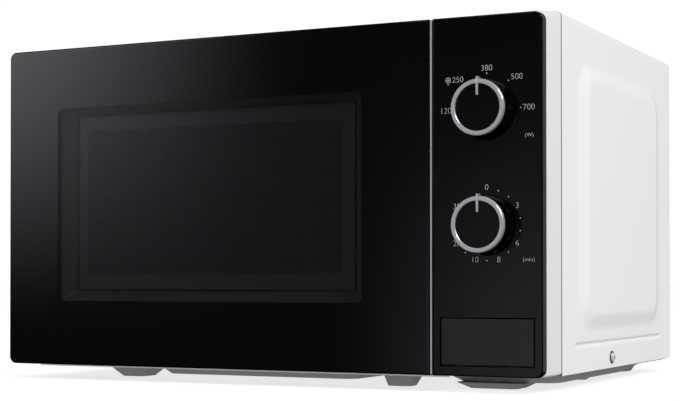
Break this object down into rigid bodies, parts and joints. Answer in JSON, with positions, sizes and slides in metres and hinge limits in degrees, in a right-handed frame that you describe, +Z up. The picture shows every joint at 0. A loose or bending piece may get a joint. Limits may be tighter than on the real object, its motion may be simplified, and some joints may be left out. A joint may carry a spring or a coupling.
{
  "type": "microwave oven",
  "caption": "Countertop microwave oven with a side-hinged glass door, turntable, power and timer dials and a push-button door release.",
  "frame": {"origin": "on the supporting surface, under the centre of the oven's bounding box", "axes": "+X to the control panel's side, +Y to the back (the door faces -Y), +Z up"},
  "size_m": [0.442, 0.347, 0.259],
  "materials": {
    "white_paint": "satin white enamel paint",
    "white_plastic": "satin white moulding",
    "black_gloss": "glossy black",
    "black_plastic": "fine matt black",
    "door_glass": "black printed safety glass with a darkened window",
    "clear_glass": "clear",
    "knob_chrome": "brushed silver",
    "screw_plating": "bright zinc",
    "galvanised": "galvanised, dull",
    "enamel": "light grey enamel",
    "screen_paint": "dark grey paint on perforated sheet",
    "grey_plastic": "grey moulding",
    "natural_plastic": "natural, unpainted",
    "copper": "enamelled copper wire, varnished",
    "core_steel": "laminated, varnished",
    "aluminium": "plain",
    "spring_steel": "bright wire",
    "mica": "mica sheet",
    "board_green": "green circuit board"
  },
  "bodies": {
    "chassis": {"outer_cabinet": "white_paint", "rear_panel": "galvanised", "base_plate": "galvanised", "front_plate": "white_paint", "oven_cavity": "enamel", "foot_front_left": "grey_plastic", "foot_front_right": "grey_plastic", "foot_rear_left": "grey_plastic", "foot_rear_right": "grey_plastic", "side_screw_right": "screw_plating", "cord_inlet": "black_plastic", "control_fascia": "black_gloss", "control_housing": "white_plastic", "power_selector": "natural_plastic", "timer_unit": "galvanised", "button_spring": "spring_steel", "upper_hinge": "galvanised", "lower_hinge": "galvanised", "interlock_bracket": "natural_plastic", "primary_switch": "black_plastic", "monitor_switch": "grey_plastic", "secondary_switch": "black_plastic", "waveguide": "galvanised", "waveguide_cover": "mica", "magnetron": "aluminium", "transformer_core": "core_steel", "primary_winding": "copper", "secondary_winding": "copper", "hv_capacitor": "aluminium", "hv_diode": "black_plastic", "fan_shroud": "natural_plastic", "fan_motor": "core_steel", "filter_board": "board_green", "oven_lamp": "clear_glass", "turntable_motor": "galvanised"},
    "door": {"door_glass": "door_glass", "door_frame": "black_plastic", "door_screen": "screen_paint", "inner_window": "clear_glass", "choke_frame": "black_plastic", "latch_spring": "spring_steel"},
    "latch": {"door_latch": "natural_plastic"},
    "power_dial": {"power_knob": "black_gloss", "power_knob_ring": "knob_chrome", "power_knob_pointer": "knob_chrome", "power_shaft": "aluminium"},
    "timer_dial": {"timer_knob": "black_gloss", "timer_knob_ring": "knob_chrome", "timer_knob_pointer": "knob_chrome", "timer_shaft": "aluminium"},
    "button": {"release_button": "black_gloss"},
    "lever": {"release_lever": "natural_plastic"},
    "turntable": {"turntable_plate": "clear_glass", "turntable_coupler": "natural_plastic"},
    "ring": {"roller_ring": "natural_plastic"},
    "wheel_1": {"roller_1": "natural_plastic"},
    "wheel_2": {"roller_2": "natural_plastic"},
    "wheel_3": {"roller_3": "natural_plastic"},
    "fan": {"fan_blade": "white_plastic"}
  },
  "joints": [
    {"name": "door_hinge", "type": "hinge", "parent": "chassis", "child": "door", "pos_m": [-0.209, -0.1315, 0.134], "axis": [0, 0, -1], "range_deg": [0, 105]},
    {"name": "latch_lift", "type": "slide", "parent": "door", "child": "latch", "axis": [0, 0, 1], "range_m": [0, 0.003], "deforming": ["latch_spring"]},
    {"name": "power_turn", "type": "hinge", "parent": "chassis", "child": "power_dial", "pos_m": [0.17915, -0.1555, 0.1895], "axis": [0, 1, 0], "range_deg": [-90, 90]},
    {"name": "timer_turn", "type": "hinge", "parent": "chassis", "child": "timer_dial", "pos_m": [0.17915, -0.1555, 0.1122], "axis": [0, 1, 0], "range_deg": [0, 320]},
    {"name": "button_press", "type": "slide", "parent": "chassis", "child": "button", "axis": [0, 1, 0], "range_m": [0, 0.006], "stiffness_N_per_m": 400, "springref_m": -0.003, "deforming": ["button_spring"]},
    {"name": "lever_swing", "type": "hinge", "parent": "chassis", "child": "lever", "pos_m": [0.145, -0.112, 0.054], "axis": [1, 0, 0], "range_deg": [0, 17.5]},
    {"name": "turntable_spin", "type": "hinge", "parent": "chassis", "child": "turntable", "pos_m": [-0.051, 0.0245, 0.045], "axis": [0, 0, 1], "continuous": true},
    {"name": "ring_spin", "type": "hinge", "parent": "chassis", "child": "ring", "pos_m": [-0.051, 0.0245, 0.0378], "axis": [0, 0, 1], "continuous": true},
    {"name": "wheel_1_roll", "type": "hinge", "parent": "ring", "child": "wheel_1", "pos_m": [0.037, 0.0245, 0.0378], "axis": [1, 0, 0], "continuous": true},
    {"name": "wheel_2_roll", "type": "hinge", "parent": "ring", "child": "wheel_2", "pos_m": [-0.095, 0.10071, 0.0378], "axis": [-0.5, 0.866, 0], "continuous": true},
    {"name": "wheel_3_roll", "type": "hinge", "parent": "ring", "child": "wheel_3", "pos_m": [-0.095, -0.05171, 0.0378], "axis": [-0.5, -0.866, 0], "continuous": true},
    {"name": "fan_spin", "type": "hinge", "parent": "chassis", "child": "fan", "pos_m": [0.16, 0.1295, 0.115], "axis": [0, 1, 0], "continuous": true}
  ],
  "couplings": [
    {"joint": "latch_lift", "follows": "button_press", "ratio": 0.5},
    {"joint": "lever_swing", "follows": "button_press", "rad_per_m": 50},
    {"joint": "ring_spin", "follows": "turntable_spin", "ratio": 0.5},
    {"joint": "wheel_1_roll", "follows": "turntable_spin", "ratio": -5.8667},
    {"joint": "wheel_2_roll", "follows": "turntable_spin", "ratio": -5.8667},
    {"joint": "wheel_3_roll", "follows": "turntable_spin", "ratio": -5.8667}
  ]
}
